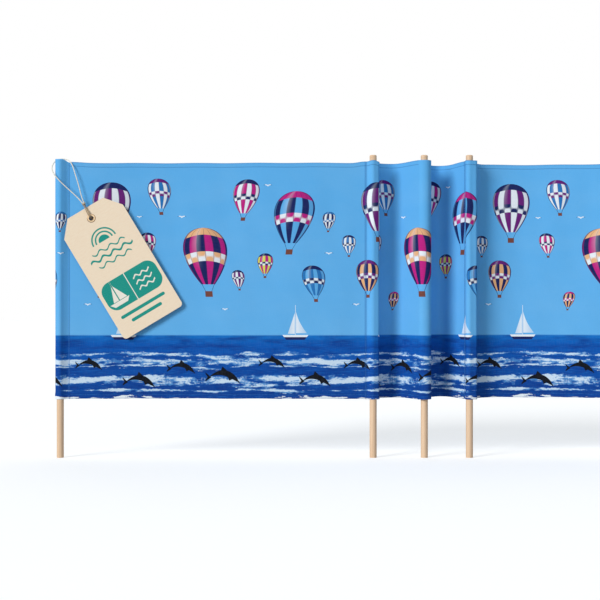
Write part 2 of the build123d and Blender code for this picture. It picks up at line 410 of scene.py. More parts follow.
def edge(depth, blur=print_blur):
    """1 where depth, in metres, is well inside a printed shape, and 0 outside it."""
    return reckon("ADD", depth / blur, 0.5, clamped=True)


def lesser(one, other):
    """The smaller of two numbers: inside both of two shapes."""
    return reckon("MINIMUM", one, other)


def greater(one, other):
    """The larger of two numbers: inside either of two shapes."""
    return reckon("MAXIMUM", one, other)


def pick(number, choices):
    """The choice of that number, of which the first three values count, each from 0 to 1."""
    picked = on_surface("ShaderNodeValToRGB", {0: (number + 0.5) / len(choices)})
    ramp = picked.socket.node.color_ramp
    ramp.interpolation = "CONSTANT"
    while len(ramp.elements) < len(choices):
        ramp.elements.new(1.0)
    for index, choice in enumerate(choices):
        ramp.elements[index].position = index / len(choices)
        ramp.elements[index].color = (*choice[:3], 1.0)
    return picked


def seat_at(along, seats):
    """Which of the even shares of the repeat a place is in, and how far along the repeat it lies."""
    across = reckon("FLOORED_MODULO", along, repeat)
    return reckon("FLOOR", across * (seats / repeat)), across


def balloon(picture, x, y, size, inks):
    """A striped balloon over its basket; x and y run from its middle, in metres."""
    p = x / size
    q = y / size
    rise = (q + 1.0) * 0.5
    width = reckon("SQRT", greater(1.0 - rise, 0.0)) * (rise * 1.65 + 0.242)
    bulge = greater(lesser(p / greater(width, 0.03), 1.0), -1.0)
    inside = edge((width - abs(p)) * size) * edge((q + 1.0) * size) * edge((1.0 - q) * size)
    gores = reckon("SINE", reckon("ARCSINE", bulge) * 8.0)
    colour = blend(edge(gores * 0.002), inks[0], inks[1])
    curve = rise + bulge * bulge * 0.08
    band = edge((0.085 - abs(curve - 0.50)) * size * 2)
    chevron = edge(gores * 0.002 * (curve - 0.50) * 14)
    colour = blend(band, colour, blend(chevron, inks[2], white_ink))
    colour = blend(edge((curve - 0.88) * size * 2), colour, inks[2])
    line = greater(edge((0.10 - abs(gores)) * 0.004), edge((abs(p) - width + 0.05) * size))
    colour = blend(line * 0.75, colour, navy_ink)
    shadow = within(bulge * 0.6 + 0.35)
    colour = blend(shadow * shadow * 0.36, colour, dye(24, 22, 84))
    shine = within(1.0 - abs(bulge + 0.40) * 4.0) * within(rise * 2 - 0.5)
    colour = blend(shine * 0.22, colour, white_ink)
    ropes = edge(0.0007 - abs(abs(p) - (q + 1.26) * 0.45 - 0.10) * size) * edge((-1.0 - q) * size)
    basket = edge((0.13 - abs(p)) * size) * edge((0.10 - abs(q + 1.34)) * size)
    picture = blend(ropes * edge((q + 1.26) * size), picture, navy_ink)
    picture = blend(basket, picture, dye(120, 70, 60))
    return blend(inside, picture, colour)


def gull(picture, x, y, size):
    """A gull far off, two bent wings with dark tips."""
    reach = abs(x) / size
    wing = reach * (1.15 - reach) * 0.75
    depth = (1.0 - reach) * 0.14 + 0.02 - abs(y / size - wing)
    inside = edge(depth * size) * edge((1.0 - reach) * size)
    return blend(inside, picture, blend(edge((reach - 0.72) * size), white_ink, navy_ink))


def dinghy(picture, x, y):
    """A small sailing boat: a hull, a mast and two white sails."""
    hull = edge(0.008 - abs(y - 0.004)) * edge(0.034 + y * 0.8 - abs(x))
    mast = edge(0.0007 - abs(x)) * edge(y) * edge(0.112 - y)
    share = within((0.108 - y) / 0.092)
    main = edge(x - 0.0022) * edge(share * share * 0.036 + share * 0.004 - x) * edge(y - 0.018)
    jib = edge(-0.0022 - x) * edge(within((0.092 - y) / 0.078) * 0.026 + x) * edge(y - 0.016)
    picture = blend(greater(main, jib), picture, blend(within(abs(x) * 26), white_ink, dye(176, 210, 240)))
    picture = blend(mast, picture, white_ink)
    return blend(hull, picture, blend(edge(y - 0.005), navy_ink, white_ink))


def dolphin(picture, x, y, size):
    """A leaping dolphin as a dark shape: arched body, fin and tail."""
    p = x / size
    q = y / size + p * 0.14
    middle = 0.42 * (1.0 - p * p)
    half = reckon("SQRT", greater(1.0 - p * p, 0.0)) * (p * 0.110 + 0.190)
    fin = greater(lesser((0.22 - p) * 0.80, (p + 0.20) * 2.4), 0.0)
    flipper = greater(lesser(0.58 - p, (p - 0.26) * 1.6), 0.0)
    body = edge((middle + half + fin - q) * size) * edge((q - middle + half + flipper) * size)
    body = body * edge((1.0 - abs(p)) * size)
    beak = edge((0.062 - abs(q - middle + 0.03)) * size) * edge((0.12 - abs(p - 0.96)) * size)
    away = abs(q + 0.02)
    fluke = edge((0.78 * (-0.86 - p) - away) * size) * edge((p + 1.26) * size)
    fluke = fluke * (1.0 - edge((1.5 * (-1.12 - p) - away) * size))
    return blend(greater(greater(body, fluke), beak), picture, dye(8, 12, 22))


def paint_sky(along, up, waver):
    """Clear sky, a little hazy and paler low down, with gulls in front of it and then the balloons."""
    haze = waver(up * 2.2, 5.0, 2.0)
    picture = stain(sky_ink, 1.35 - up * 2.2, 0.30, dye(112, 184, 236))
    picture = stain(picture, haze * 2.4 - 1.0, 0.22, dye(134, 196, 240))
    number, x = seat_at(along, len(gulls))
    across, height, size = axes(pick(number, gulls))
    picture = gull(picture, x - across, up - height, size)
    for flight in balloon_flights:
        number, x = seat_at(along, len(flight))
        across, height, size = axes(pick(number, flight))
        inks = [pick(number, [seat[column] for seat in flight]) for column in (3, 4, 5)]
        lean = reckon("SINE", number * 2.4) * 0.13
        y = up - height
        picture = balloon(picture, x - across + y * lean, y, size, inks)
    return picture


def paint_sea(up, waver):
    """Dark water with bands of foam that break up into bubbles, and the white fringe of the last wave."""
    swell = waver(up * 6.0, 11.0, 3.0)
    ripple = waver(up * 9.0, 34.0, 2.0)
    depth = within((horizon - up) / horizon)
    sea = blend(depth, dye(3, 92, 184), dye(5, 66, 150))
    sea = stain(sea, 1.0 - depth * 7.0, 0.65, dye(22, 124, 206))
    sea = stain(sea, swell * 3.0 - 1.2, 0.8, dye(4, 52, 134))
    sea = stain(sea, ripple * 4.0 - 2.2, 0.55, dye(30, 116, 202))

    sway = (waver(0.3, 5.0, 1.0) - 0.5) * 0.060
    mass = waver(up * 5.0, 9.0, 2.0, 0.55)
    lace = waver(up * 3.0, 46.0, 4.0, 0.62)
    billow = waver(up * 1.3, 52.0, 2.0)
    bubbles = waver(up * 1.6, 150.0, 3.0, 0.65)
    crest = -1.0
    trough = 0.0
    for centre, above, below, weight in foam_bands:
        away = up - centre + sway * (centre + 0.05) * 4 + (billow - 0.5) * (above * 1.6)
        band = greater(away / above, -away / below)
        crest = greater((1.0 - band) * weight, crest)
        trough = greater(within(1.0 - abs(away / below + 1.25) * 2.2) * weight, trough)
    foam = greater(lesser(crest, 0.75), -0.8) + (mass - 0.53) * 3.6 + (lace - 0.5)
    specks = foam + (bubbles - 0.5) * 1.3 + (ripple - 0.5) * 1.6
    fringe = lace * 0.022 + (mass - 0.5) * 0.080 + (bubbles - 0.5) * 0.010 - 0.011 - up
    sea = stain(sea, mass * 3.0 - 1.0, trough * 0.55, dye(6, 38, 112))
    sea = stain(sea, foam * 3.0 - 0.3, 0.80, dye(92, 158, 220))
    sea = stain(sea, specks * 2.6 - 0.9, 0.92, dye(214, 232, 247))
    return blend(within(fringe * 400), sea, dye(238, 245, 250))


def paint_boats(picture, along, up):
    """Sailing boats on the horizon, two in each repeat."""
    column = reckon("FLOOR", along / (repeat / 2))
    across = (column + 0.40 + reckon("FLOORED_MODULO", column, 2.0) * 0.28) * (repeat / 2)
    return dinghy(picture, along - across, up - horizon + 0.011)


def paint_dolphins(picture, along, up):
    """Dolphins along the shore, each leaping at its own place in a share of the repeat."""
    share = repeat / len(leaps)
    column = reckon("FLOOR", along / share)
    across, height, size = axes(pick(reckon("FLOORED_MODULO", column, len(leaps)), leaps))
    x = along - (column + 0.35 + across * 0.3) * share
    return dolphin(picture, x, up - 0.045 - height * 0.075, size * 0.016 + 0.033)


def print_cloth(name, fading):
    """Cloth with its print, faded towards bare thread by a share."""
    material, shader = new_finish(name, 0.78, 0.06)
    tree = material.node_tree
    along, up, _ = axes(Field(step(tree, "ShaderNodeUVMap", {}, uv_map="print")[0]))
    crease = Field(step(tree, "ShaderNodeAttribute", {}, attribute_name="crease")["Fac"])
    turn = along * (2 * pi / repeat)
    round_x = reckon("COSINE", turn) * (repeat / (2 * pi))
    round_y = reckon("SINE", turn) * (repeat / (2 * pi))

    def waver(height, *grain):
        """Noise that meets itself where the print repeats, because it runs round a circle there."""
        return cloudy(spot(round_x, round_y, height), *grain)

    colour = blend(edge(horizon - up, horizon_blur), paint_sky(along, up, waver), paint_sea(up, waver))
    colour = paint_boats(colour, along, up)
    colour = paint_dolphins(colour, along, up)
    slub = cloudy(spot(along * 40, up * 420, 0.0), 1.0, 2.0)
    slub_up = cloudy(spot(along * 420, up * 40, 5.0), 1.0, 2.0)
    colour = stain(colour, (slub + slub_up) * 1.6 - 1.2, 0.018, dye(235, 244, 252))
    if fading:
        colour = blend(slub * 0.06 + fading, colour, dye(222, 234, 246))
    # Painted shade: darker blue along the hem folds, the stitch rows and the sleeve seams, where the crease
    # attribute is high.
    feed(shader, "Base Color", blend(crease * 0.55, colour, dye(22, 70, 136)))
    weave = wave(along, thread_pitch) * wave(up, thread_pitch)
    raise_grain(shader, weave * 0.25 + slub + slub_up, 0.0002, 0.35)
    return material


print_face = print_cloth("printed_face", 0.0)
print_reverse = print_cloth("print_reverse", 0.42)


# Cloth as sewn. One layer thick, hemmed along the top and the foot by folding the edge back twice.
# Sleeves, wound cloth and bays are all cut from it, so they share its mesh, its marks and its folds.
cloth_thickness = 0.0006
hem_drop = 0.016
hem_depth = 0.0019
hem_turn = 0.00062
turned_under = 0.0130
hem_zone = 0.042
stitch_drop = 0.0135
stitch_dent = 0.0005
thread_gap = 0.0001
merge_distance = 0.00002
fold_shade = 0.60
# Rows near each edge, as (distance in from the fold, painted shade there): the cloth is painted darker at the
# fold and along the stitch row, which is also dented in.
hem_rows = ((0.0, fold_shade), (0.0012, 0.30), (0.0040, 0.0), (0.0090, 0.0), (stitch_drop - 0.0018, 0.0),
            (stitch_drop, 0.70), (stitch_drop + 0.0018, 0.0), (0.0190, 0.0), (0.0250, 0.0), (0.0320, 0.0))
sleeve_low, sleeve_high = (corner.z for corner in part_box("pocket_3"))
bay_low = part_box("bay_1_bottom_hem")[0].z
bay_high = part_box("bay_1_top_hem")[1].z
seam_rows = {}


def run_of(points):
    """How far along a row of points each of them is."""
    return np.concatenate([[0], np.cumsum(np.linalg.norm(np.diff(points, axis=0), axis=1))])


def spots_at(marks, points):
    """The spots at these lengths along a row of points, and the way ahead at each."""
    spots = np.stack([np.interp(marks, run_of(points), column) for column in points.T], 1)
    ahead = np.gradient(spots, axis=0)
    return spots, ahead / np.linalg.norm(ahead, axis=1)[:, None]


class Line:
    """A line in plan with even steps: its spots, the way behind the cloth and the length so far."""

    def __init__(self, points, pitch):
        points = np.array(points, float)
        self.length = run_of(points)[-1]
        self.along = np.linspace(0, self.length, max(2, round(self.length / pitch) + 1))
        self.spots, ahead = spots_at(self.along, points)
        self.behind = np.stack([-ahead[:, 1], ahead[:, 0]], 1)

    def from_ends(self):
        """How far each spot is from the nearer end."""
        return np.minimum(self.along, self.length - self.along)


def smooth(number):
    """0 below 0, 1 above 1, and a soft ramp between them."""
    number = np.clip(number, 0, 1)
    return number * number * (3 - 2 * number)


def made_mesh(piece):
    """The plain mesh that a piece's modifiers or its curve make."""
    return bpy.data.meshes.new_from_object(piece.evaluated_get(bpy.context.evaluated_depsgraph_get()))


def settle(piece):
    """Keeps what a piece's modifiers make of it as its own mesh."""
    mesh = made_mesh(piece)
    piece.modifiers.clear()
    piece.data = mesh
    return piece


def cloth_piece(name, grids, node):
    """Cloth made of grids of (x, y, z, along, up, crease), printed on the side where up is left of along;
    crease is the share of painted shade.
    """
    values = []
    faces = []
    for grid in grids:
        rows, columns, _ = grid.shape
        numbers = len(values) + np.arange(rows * columns).reshape(rows, columns)
        corners = [numbers[:-1, :-1], numbers[:-1, 1:], numbers[1:, 1:], numbers[1:, :-1]]
        faces += np.stack(corners, 2).reshape(-1, 4).tolist()
        values += grid.reshape(-1, 6).tolist()
    mesh = bpy.data.meshes.new(name)
    mesh.from_pydata([value[:3] for value in values], [], faces)
    marks = [mark for face in faces for corner in face for mark in values[corner][3:5]]
    mesh.uv_layers.new(name="print").data.foreach_set("uv", marks)
    crease_shades = [value[5] for value in values]
    mesh.attributes.new("crease", "FLOAT", "POINT").data.foreach_set("value", crease_shades)
    shape = bmesh.new()
    shape.from_mesh(mesh)
    bmesh.ops.remove_doubles(shape, verts=shape.verts, dist=merge_distance)
    shape.to_mesh(mesh)
    shape.free()
    mesh.materials.append(print_face)
    mesh.materials.append(print_reverse)
    piece = bring_in(name, mesh)
    wall = piece.modifiers.new("thickness", "SOLIDIFY")
    wall.thickness = cloth_thickness
    wall.offset = -1
    wall.material_offset = 1
    wall.material_offset_rim = 1
    smoothed(settle(piece))
    take_place(piece, "cloth", node)
    return piece


def lay_grid(line, first_mark, heights, proud):
    """A grid on a line: a height and a distance in front of the line for each row and column."""
    grid = np.zeros((*heights.shape, 6))
    grid[:, :, :2] = line.spots[None] - line.behind[None] * proud[:, :, None]
    grid[:, :, 2] = heights
    grid[:, :, 3] = first_mark + line.along[None]
    grid[:, :, 4] = heights - sleeve_low
    return grid


def hem_path():
    """The folded edge seen end on: (behind the face, below the edge), from the face over to the back."""
    over = hem_depth / 2
    turn_drop = hem_drop - hem_turn
    turn_depth = hem_depth - hem_turn
    path = [(over - over * cos(a), over - over * sin(a)) for a in np.linspace(0, pi, 9)]
    path += [(hem_depth, drop) for drop in np.linspace(over, turn_drop, 6)[1:]]
    path += [(turn_depth + hem_turn * cos(a), turn_drop + hem_turn * sin(a))
             for a in np.linspace(0, pi, 7)[1:]]
    inner = np.linspace(turn_drop, hem_drop - turned_under, 4)[1:]
    return path + [(turn_depth - hem_turn, drop) for drop in inner]


def hemmed_grids(line, first_mark, bottom, top, rows, stand_out):
    """Grids for the cloth and for its lower and upper hem, with edge heights for each column."""
    fold = hem_depth / 2
    near, near_crease_shades = np.array(hem_rows).T
    crease_shades = np.concatenate([near_crease_shades, np.zeros(rows), near_crease_shades[::-1]])[:, None]
    between = bottom + hem_zone + (top - bottom - 2 * hem_zone) * np.linspace(0, 1, rows)[:, None]
    heights = np.concatenate([bottom + fold + near[:, None], between, top - fold - near[::-1, None]])
    face = lay_grid(line, first_mark, heights, stand_out(heights) - stitch_dent * (crease_shades > fold_shade))
    face[:, :, 5] = crease_shades
    grids = [face]
    for edge_height, way in ((bottom, 1), (top, -1)):
        path = np.array(hem_path())[::-way]
        depth, drop = path.T[:, :, None]
        proud = stand_out(edge_height + way * np.maximum(drop, fold)) - depth
        hem = lay_grid(line, first_mark, edge_height + way * drop, proud)
        travelled = run_of(path)
        if way > 0:
            travelled -= travelled[-1]
        hem[:, :, 4] = edge_height + way * fold - sleeve_low + travelled[:, None]
        hem[:, :, 5] = fold_shade * (drop < fold + merge_distance)
        grids.append(hem)
    return grids


def mark_seams(name, line, low, high, stand_out, depths):
    """Keeps the lines that the thread follows along both hems of a piece, so deep behind its face."""
    seam_rows[name] = []
    for heights in (low + stitch_drop, high - stitch_drop):
        proud = stand_out(heights[None])[0]
        for depth in depths:
            spots = line.spots - line.behind * (proud - depth)[:, None]
            seam_rows[name].append(np.column_stack([spots, heights]))


# Sleeves. The cloth goes round each post and is sewn to itself at a flat seam, a finger wider than the post.
# The two at the ends are closed over the top of the post; those between are open, and the middle one is bare.
pocket_radius = 0.0123
seam_width = 0.006
wrap_turn = 4
sleeve_pitch = 0.0012
sleeve_rows = 40
end_sleeve_rows = 60
hem_ease = 0.002
sleeve_fullness = 0.0006
fold_rate = 190
free_after = 0.02
shade_line_width = 0.0014
crown_rounding = 0.0045
end_sleeve = {"seam": 0.026, "slack": 0.0033, "nose": 0.009, "leave": 56}
fold_sleeves = {
    2: {"seam": 0.022, "slack": 0.0073, "nose": 0.008, "leave": 44, "angle": 180, "droop": (0.0035, 0.005)},
    4: {"seam": 0.022, "slack": 0.0121, "nose": 0.008, "leave": 44, "angle": 120, "droop": (0.0, 0.001)},
}


def towards(angle):
    """The way in plan that an angle in degrees points."""
    return Vector((cos(radians(angle)), sin(radians(angle))))


def left_of(way):
    """The way in plan that lies to the left of another."""
    return Vector((-way.y, way.x))


def sleeve_route(sizes, angle, nose_angle):
    """Outline of a sleeve in plan, anticlockwise from one face of its seam to the other."""
    seam, slack_room, nose, leave_angle = (sizes[size] for size in ("seam", "slack", "nose", "leave"))
    seam_way = towards(angle)
    layer = left_of(seam_way) * cloth_thickness
    nose_middle = towards(nose_angle) * (pocket_radius + slack_room - nose)
    circles = [(Vector((0, 0)), pocket_radius), (nose_middle, nose)]
    wrap = []
    for turned in range(leave_angle, 361 - leave_angle, wrap_turn):
        away = towards(angle + turned)
        centre, radius = max(circles, key=lambda circle: circle[0].dot(away) + circle[1])
        wrap.append(centre + away * (radius + cloth_thickness))
    leave = radians(leave_angle)
    bend = seam_way * ((pocket_radius + cloth_thickness * (1 - sin(leave))) / cos(leave))
    foot = seam_way * seam
    tip = seam_way * (seam + seam_width)
    return [tip + layer, *soft_route([foot + layer, bend + layer, wrap[0]], 8), *wrap[1:-1],
            *soft_route([wrap[-1], bend - layer, foot - layer], 8), tip - layer]


def seam_shade_lines(distance, seam):
    """Painted shadow lines where a sleeve's two layers meet and where its seam ends."""
    edge_line = np.exp(-((distance - seam - seam_width + 0.0008) / shade_line_width) ** 2)
    return np.maximum(0.5 * np.exp(-((distance - seam) / shade_line_width) ** 2), edge_line)


def hem_bulge(edge_gap):
    """How much farther out a sleeve's face is this far from its edge, where its hem lies under it."""
    return (hem_depth - cloth_thickness) * smooth((hem_drop + hem_ease - edge_gap) / (2 * hem_ease))


def sleeve_slack(free, along, heights, edge_gap):
    """Upright folds where a sleeve is free to stand off the post, none of them at its edges."""
    fold = sleeve_fullness * free * (0.5 + 0.5 * np.sin(along * fold_rate + 1.1 * np.sin(heights * 7)))
    return fold * smooth((edge_gap - 0.01) / 0.05)


def open_sleeve(number, first_mark):
    """A sleeve between two bays, folded from the run of the cloth and open at both ends."""
    sizes = fold_sleeves[number]
    middle = post_places[number].xy
    line = Line([point + middle for point in sleeve_route(sizes, sizes["angle"], 0)], sleeve_pitch)
    distance = (line.spots - np.array(middle)) @ np.array(towards(sizes["angle"]))
    seam_droop, nose_droop = sizes["droop"]
    droop = seam_droop * smooth(distance / sizes["seam"]) + nose_droop * smooth(-distance / 0.018 - 0.2)
    low = sleeve_low + 0 * droop
    high = sleeve_high - droop

    def stand_out(heights):
        """Hems are thicker than one layer, so the sleeve is a little wider there; elsewhere it is slack."""
        edge_gap = np.minimum(heights - low, high - heights)
        free = smooth(line.from_ends() / free_after)
        return hem_bulge(edge_gap) + sleeve_slack(free, line.along, heights, edge_gap)

    grids = hemmed_grids(line, first_mark, low, high, sleeve_rows, stand_out)
    # Painted shadow lines along the seam.
    grids[0][:, :, 5] = np.maximum(grids[0][:, :, 5], seam_shade_lines(distance, sizes["seam"]))
    mark_seams(f"sleeve_{number}", line, low, high, stand_out, [stitch_dent - thread_gap])
    piece = cloth_piece(f"sleeve_{number}", grids, f"pocket_{number}")
    return first_mark + line.length


def end_sleeve_cloth(number, first_mark):
    """A sleeve at an end of the run: round the post, closed over its top and sloping to the seam."""
    way = 1 if number == 5 else -1
    route = sleeve_route(end_sleeve, 0, 180)
    half = Line(route[len(route) // 2::-1], sleeve_pitch)
    outwards, aside = half.spots.T
    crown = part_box(f"pocket_{number}")[1].z
    seam_end = end_sleeve["seam"] + seam_width
    crown_end = pocket_radius * 0.6
    slope = smooth((outwards - crown_end) / (seam_end - crown_end))
    top = crown + (bay_high + 0.001 - crown) * slope
    rounding = np.clip(aside, 0.0001, crown_rounding)
    foot = sleeve_low + hem_depth / 2
    wall = foot + (top - rounding - foot) * np.linspace(0, 1, end_sleeve_rows)[:, None]
    turn = np.linspace(0, pi / 2, 9)[1:, None]
    heights = np.concatenate([wall, top - rounding + rounding * np.sin(turn) ** 0.8])
    reach = np.concatenate([np.ones((len(wall), 1)), np.maximum(np.cos(turn), 0) ** 0.7])
    free = smooth((seam_end - outwards) / free_after)
    edge_gap = heights - sleeve_low
    from_seam = half.length - half.along
    grids = []
    for side in (-1, 1):
        shifted = half.along + side / fold_rate
        proud = reach * (sleeve_slack(free, shifted, heights, edge_gap) + hem_bulge(edge_gap))
        grid = np.zeros((*heights.shape, 6))
        grid[:, :, 0] = post_places[number].x - way * (outwards + half.behind[:, 0] * proud)
        grid[:, :, 1] = side * reach * (aside + half.behind[:, 1] * proud)
        grid[:, :, 2] = heights
        grid[:, :, 3] = first_mark + way * (from_seam if side < 0 else 2 * half.length - from_seam)
        grid[:, :, 4] = edge_gap
        # Painted shadow lines along the seam.
        grid[:, :, 5] = seam_shade_lines(outwards, end_sleeve["seam"])
        grids.append(grid[:, ::-1] if side == -way else grid)
    piece = cloth_piece(f"sleeve_{number}", grids, f"pocket_{number}")


# Bays. Cloth hangs from post to post between two sleeves; two short bays dip far behind the posts
# because their spare cloth is wound together round the middle post, one layer of each in turn.
bay_pitch = 0.006
bay_rows = 90
straight_run = 0.025
dips = {2: 0.075, 3: 0.105, 4: 0.080}
held_by_seam = 0.09
held_by_hem = 0.12
pucker_height = 0.00035
pucker_fade = 0.011
layer_pitch = 0.0010
roll_margin = 0.0008
roll_rows = 36
roll_pitch = 0.003
wound_turns = {"front": 10, "back": 9}
wound_angle = {"front": 212, "back": 150}
wound_between = 0.05
wound_fullness = 0.0004
core_radius = pocket_radius + layer_pitch
front_radius = core_radius + wound_turns["front"] * layer_pitch + cloth_thickness
arm_gap = 1 - (wound_angle["front"] - wound_angle["back"]) / 180
back_radius = front_radius - cloth_thickness - layer_pitch * arm_gap


def from_post(number, radius, angle):
    """A place in plan at this distance and angle from the middle of a post."""
    return post_places[number].xy + towards(angle) * radius


def at_depth(start, angle, depth):
    """Where a line that leaves start at this angle reaches a depth behind the posts."""
    way = towards(angle)
    return start + way * ((depth - start.y) / way.y)


face_y = -cloth_thickness
seam_end_1 = post_places[1].x + end_sleeve["seam"] + seam_width
seam_end_2 = post_places[2].x - fold_sleeves[2]["seam"] - seam_width
seam_end_5 = post_places[5].x - end_sleeve["seam"] - seam_width
fold_2_back = Vector((seam_end_2 + cloth_thickness, cloth_thickness))
fold_2_bend = fold_2_back + Vector((0, 2 * seam_width))
roll_front = from_post(3, front_radius, wound_angle["front"])
roll_back = from_post(3, back_radius, wound_angle["back"])
fold_4_angle = fold_sleeves[4]["angle"]
fold_4_tip = fold_sleeves[4]["seam"] + seam_width
fold_4_side = left_of(towards(fold_4_angle)) * cloth_thickness
fold_4_in = from_post(4, fold_4_tip, fold_4_angle) + fold_4_side
fold_4_out = from_post(4, fold_4_tip - cloth_thickness, fold_4_angle) - fold_4_side
span_1 = post_places[2].x - post_places[1].x
span_4 = post_places[5].x - post_places[4].x
bay_corners = {
    1: [(seam_end_1, face_y), (seam_end_1 + straight_run, face_y), (span_1 * 0.36, 0.012),
        (span_1 * 0.70, -0.004), (seam_end_2 - straight_run, face_y), (seam_end_2, face_y)],
    2: [fold_2_back, fold_2_bend, at_depth(fold_2_bend, 40, dips[2]),
        at_depth(roll_front, wound_angle["front"] + 90, dips[2]), roll_front],
    3: [roll_back, at_depth(roll_back, wound_angle["back"] - 90, dips[3]),
        at_depth(fold_4_in, fold_4_angle, dips[3]), fold_4_in],
    4: [fold_4_out, at_depth(fold_4_out, 30, dips[4]), (post_places[4].x + span_4 * 0.34, 0.060),
        (post_places[4].x + span_4 * 0.62, 0.012), (seam_end_5 - 0.190, face_y), (seam_end_5, face_y)],
}
edge_rise = {1: ((0.35, 0.075), (0.56, 0.045)), 2: ((0.56, 0.900), (0.55, 0.105)),
             3: ((1.0, 0.075), (1.0, 0.090)), 4: ((1.0, 0.075), (0.35, 0.075))}
bay_fullness = {1: 0.0013, 2: 0.0016, 3: 0.0016, 4: 0.0018}
bay_lines = {number: Line(soft_route(corners), bay_pitch) for number, corners in bay_corners.items()}
bays = {}


def slack(along, up, fullness):
    """How far the cloth stands out from its line, in metres, where it isn't pulled tight."""
    roll = np.sin(along * 19.3 + up * 5.1 + 0.9) * 0.6 + np.sin(along * 33.7 - up * 8.3 + 2.1) * 0.4
    crease = np.sin(along * 71.0 + up * 23.0 + 1.7 * np.sin(up * 9.0)) * 0.25
    return fullness * (roll + crease)


def pucker(along, below_edge):
    """Small gathers that the hem's thread pulls up, fading away from the stitches."""
    ripple = np.sin(along * 465.0 + 2.2 * np.sin(along * 61.0)) * (0.7 + 0.3 * np.sin(along * 23.0))
    return pucker_height * ripple * np.exp(-((below_edge - stitch_drop) / pucker_fade) ** 2)


def bay_edges(number):
    """Heights of the foot and the top of a bay, which draw in between its posts."""
    line = bay_lines[number]
    rise = sum(share * smooth(1 - distance / reach)
               for (share, reach), distance in zip(edge_rise[number], (line.along, line.length - line.along)))
    uneven = 0.0006 * np.sin(line.along * 31 + number)
    low = bay_low + (sleeve_low - bay_low) * rise + uneven
    high = bay_high + (sleeve_high - bay_high) * rise + uneven
    return low, high


def make_bay(number, mark):
    """One bay: its cloth and its two hems, each a piece of its own."""
    line = bay_lines[number]
    low, high = bay_edges(number)

    def stand_out(heights):
        """The bay's slack: none at its seams, most in the middle, and small gathers at its hems."""
        edge_gap = np.minimum(heights - low, high - heights)
        full = slack(mark + line.along, heights, bay_fullness[number]) + 1.3 * bay_fullness[number]
        free = smooth(line.from_ends() / held_by_seam) * full * (0.35 + 0.65 * smooth(edge_gap / held_by_hem))
        return free + pucker(line.along, edge_gap)

    cloth, low_hem, high_hem = hemmed_grids(line, mark, low, high, bay_rows, stand_out)
    bays[number] = [cloth_piece(f"bay_{number}", [cloth], f"bay_{number}_cloth"),
                    cloth_piece(f"bottom_hem_{number}", [low_hem], f"bay_{number}_bottom_hem"),
                    cloth_piece(f"top_hem_{number}", [high_hem], f"bay_{number}_top_hem")]
    depths = [stitch_dent - thread_gap, hem_depth + thread_gap]
    mark_seams(f"bay_{number}", line, low, high, stand_out, depths)
    return mark + line.length


def wound_arm(side, radius, mark, ends_outside):
    """One of the two wound cloths: a spiral that shrinks by a layer in each half turn."""
    sweep = np.radians(np.arange(0, 180 * wound_turns[side] + 1, 9))
    shrink = radius - layer_pitch * sweep / pi
    around = radians(wound_angle[side]) + sweep
    points = np.column_stack([post_places[3].x + shrink * np.cos(around), shrink * np.sin(around)])
    if ends_outside:
        points = points[::-1]
    line = Line(points, roll_pitch)
    outside = line.length - line.along if ends_outside else line.along
    uneven = 0.0007 * np.sin(line.along * 17) + 0.0004 * np.sin(line.along * 41 + 1)
    low = sleeve_low + roll_margin
    heights = low + (sleeve_high - roll_margin - low) * np.linspace(0, 1, roll_rows)[:, None]
    heights = heights + uneven * smooth(outside / 0.12)
    ripple = smooth(1 - outside / 0.14) * (0.5 + 0.5 * np.sin(line.along * 210 + np.sin(heights * 8)))
    first_mark = mark - line.length if ends_outside else mark
    grid = lay_grid(line, first_mark, heights, ripple * (0.0 if ends_outside else wound_fullness))
    piece = cloth_piece(f"roll_{side}_cloth", [grid], f"wound_cloth_{side}")


end_sleeve_cloth(1, 0.0)
mark = make_bay(1, 0.0)
mark = open_sleeve(2, mark)
mark = make_bay(2, mark)

around = np.radians(np.arange(0, 361, 9))
core_spots = np.column_stack([np.cos(around), np.sin(around)]) * (pocket_radius + cloth_thickness)
core_line = Line(core_spots + (post_places[3].x, 0), 0.002)
core_heights = np.linspace(sleeve_low, sleeve_high, 12)[:, None] * np.ones_like(core_line.along)
sleeve_3 = cloth_piece("sleeve_3", [lay_grid(core_line, mark, core_heights, 0 * core_heights)], "pocket_3")

wound_arm("front", front_radius, mark, False)
wound_arm("back", back_radius, mark + wound_between, True)
mark = make_bay(3, mark + wound_between)
mark = open_sleeve(4, mark)
mark = make_bay(4, mark)
end_sleeve_cloth(5, mark)


# Stitches. Cotton thread in short lockstitches: one row along each hem, through to the back of the bays,
# and two rows up each sleeve's seam, on both of its faces.
stitch_pitch = 0.0034
stitch_length = 0.0029
thread_radius = 0.00040
seam_row_places = (0.0018, 0.0044)
seam_foot_gap = 0.003
seam_top_gap = 0.0025
seam_steps = 160


def open_tree(name, sizes):
    """A Geometry Nodes tree with a shape, named sizes and a finish going in, and a shape coming out."""
    tree = bpy.data.node_groups.new(name, "GeometryNodeTree")
    tree.interface.new_socket("Shape", in_out="INPUT", socket_type="NodeSocketGeometry")
    for size in sizes:
        tree.interface.new_socket(size, in_out="INPUT", socket_type="NodeSocketFloat")
    tree.interface.new_socket("Finish", in_out="INPUT", socket_type="NodeSocketMaterial")
    tree.interface.new_socket("Shape", in_out="OUTPUT", socket_type="NodeSocketGeometry")
    return tree, step(tree, "NodeGroupInput", {})


def close_tree(tree, shape, finish):
    """Ends a tree: real copies, smooth faces and one finish."""
    real = step(tree, "GeometryNodeRealizeInstances", {"Geometry": shape})
    smooth_faces = step(tree, "GeometryNodeSetShadeSmooth", {"Geometry": real[0]})
    finished = step(tree, "GeometryNodeSetMaterial", {"Geometry": smooth_faces[0], "Material": finish})
    step(tree, "NodeGroupOutput", {0: finished[0]})


